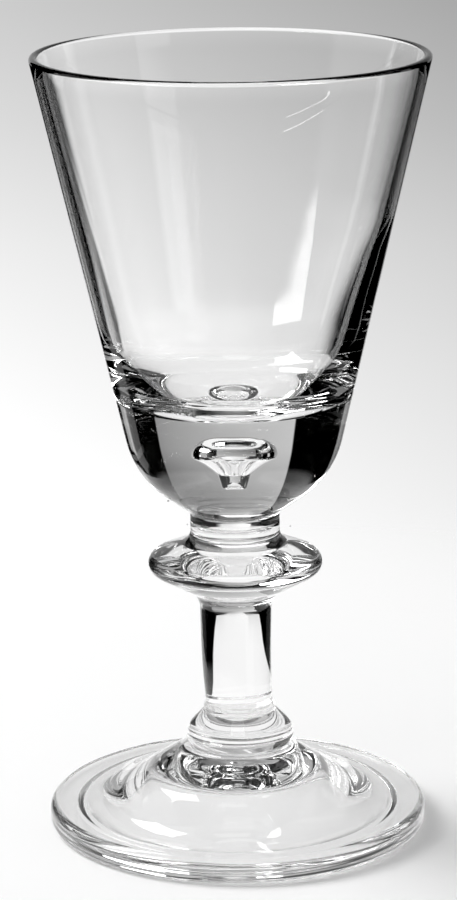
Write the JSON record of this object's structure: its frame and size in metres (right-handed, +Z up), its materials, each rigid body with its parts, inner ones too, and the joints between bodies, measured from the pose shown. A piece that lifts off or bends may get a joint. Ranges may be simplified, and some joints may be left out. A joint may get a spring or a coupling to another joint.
{
  "type": "claret glass",
  "caption": "Stemmed wine glass in clear glass: conical bowl on a solid base with an air tear, short neck, broad flange, plain stem, lower knop and domed foot.",
  "frame": {"origin": "centre of the foot, on the plane that the rest ring stands on", "axes": "+Z up along the axis of the glass, from the foot to the rim; X and Y are level"},
  "size_m": [0.0748, 0.0748, 0.15],
  "materials": {
    "clear_glass": "fire-polished clear glass"
  },
  "bodies": {
    "root": {"claret_glass": "clear_glass"}
  },
  "joints": []
}
